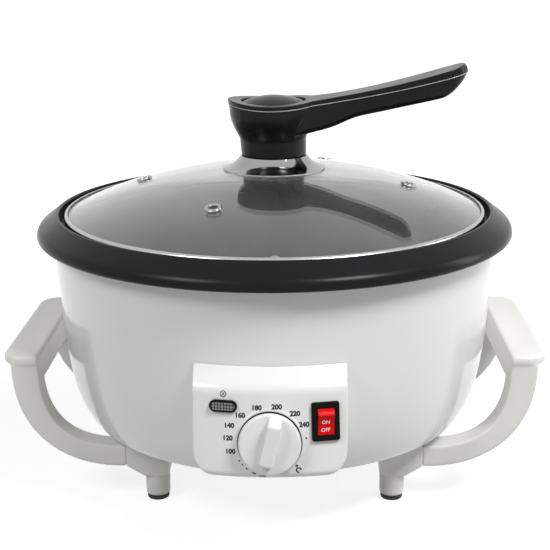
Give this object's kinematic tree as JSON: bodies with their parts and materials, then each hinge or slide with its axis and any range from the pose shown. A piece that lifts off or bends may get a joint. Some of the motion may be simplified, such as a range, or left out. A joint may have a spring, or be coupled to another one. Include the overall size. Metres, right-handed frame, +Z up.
{
  "type": "coffee bean roaster",
  "caption": "Countertop coffee bean roaster with a heated round pan, motor-driven stirrer, lift-off glass lid with a long handle, side handles on legs and a control box.",
  "frame": {"origin": "point on the table under the middle of the pan, level with the rubber feet's lowest faces", "axes": "+Z up along the stirrer's axis, -Y towards the control box (the front), +X towards the tip of the lid's handle (the right)"},
  "size_m": [0.326, 0.3093, 0.2599],
  "materials": {
    "shell_white": "glossy",
    "rim_black": "satin",
    "plated_steel": "satin",
    "panel_white": "semi-gloss",
    "knob_white": "satin",
    "dark_plastic": "satin",
    "rocker_red": "glossy",
    "lens_smoke": "glossy",
    "clear_glass": "clear, polished",
    "coated_pan": "non-stick coating, satin",
    "bare_aluminium": "mill finish",
    "cast_aluminium": "satin",
    "bronze": "sintered, oiled",
    "stainless": "brushed",
    "black_rubber": "matte",
    "terminal_plastic": "matte",
    "chromed": "polished",
    "seal_silicone": "matte",
    "handle_black": "satin",
    "handle_white": "semi-gloss"
  },
  "bodies": {
    "housing": {"base_plate": "plated_steel", "base_screws": "plated_steel", "body_shell": "shell_white", "bracket_screws": "plated_steel", "cord_grommet": "black_rubber", "dial_ring": "dark_plastic", "element_clips": "plated_steel", "foot_screws": "plated_steel", "handle_screws": "plated_steel", "heat_shield": "bare_aluminium", "heating_element": "plated_steel", "lamp_bezel": "dark_plastic", "lamp_lens": "lens_smoke", "leg_front_left": "handle_white", "leg_front_right": "handle_white", "leg_rear_left": "handle_white", "leg_rear_right": "handle_white", "leg_screws": "plated_steel", "motor": "plated_steel", "motor_bracket": "plated_steel", "motor_screws": "plated_steel", "neon_lamp": "clear_glass", "pan": "coated_pan", "panel_housing": "panel_white", "panel_screws": "plated_steel", "rim_ring": "rim_black", "rubber_foot_front_left": "black_rubber", "rubber_foot_front_right": "black_rubber", "rubber_foot_rear_left": "black_rubber", "rubber_foot_rear_right": "black_rubber", "shaft_bushing": "bronze", "shield_standoffs": "plated_steel", "side_handle_left": "handle_white", "side_handle_right": "handle_white", "switch_housing": "dark_plastic", "terminal_block": "terminal_plastic", "thermal_cutout": "dark_plastic", "thermostat": "plated_steel", "thermostat_nut": "plated_steel"},
    "lid": {"lid_glass": "clear_glass", "lid_ring": "stainless", "lid_eyelets": "chromed", "lid_flange": "chromed", "lid_seal": "seal_silicone", "lid_washer": "stainless", "lid_screw": "plated_steel", "lid_handle_lower": "handle_black", "lid_handle_cover": "handle_black", "knob_cap": "handle_black"},
    "stirrer": {"motor_output_shaft": "plated_steel", "shaft_coupling": "plated_steel", "drive_shaft": "plated_steel", "stirrer_hub": "cast_aluminium", "stirrer_blade_long": "stainless", "stirrer_blade_short": "stainless", "blade_screws": "plated_steel", "stirrer_nut": "stainless"},
    "dial": {"dial_knob": "knob_white", "thermostat_spindle": "plated_steel"},
    "rocker": {"switch_rocker": "rocker_red"}
  },
  "joints": [
    {"name": "lid_lift", "type": "slide", "parent": "housing", "child": "lid", "axis": [0, 0, 1], "range_m": [0, 0.12]},
    {"name": "stirrer_spin", "type": "hinge", "parent": "housing", "child": "stirrer", "pos_m": [0, 0, 0.1], "axis": [0, 0, 1], "continuous": true},
    {"name": "dial_turn", "type": "hinge", "parent": "housing", "child": "dial", "pos_m": [0, -0.15012, 0.0778], "axis": [0, 0.9912, -0.1323], "range_deg": [0, 252]},
    {"name": "rocker_rock", "type": "hinge", "parent": "housing", "child": "rocker", "pos_m": [0.02852, -0.14189, 0.08797], "axis": [-0.9804, -0.197, 0], "range_deg": [0, 26]}
  ]
}
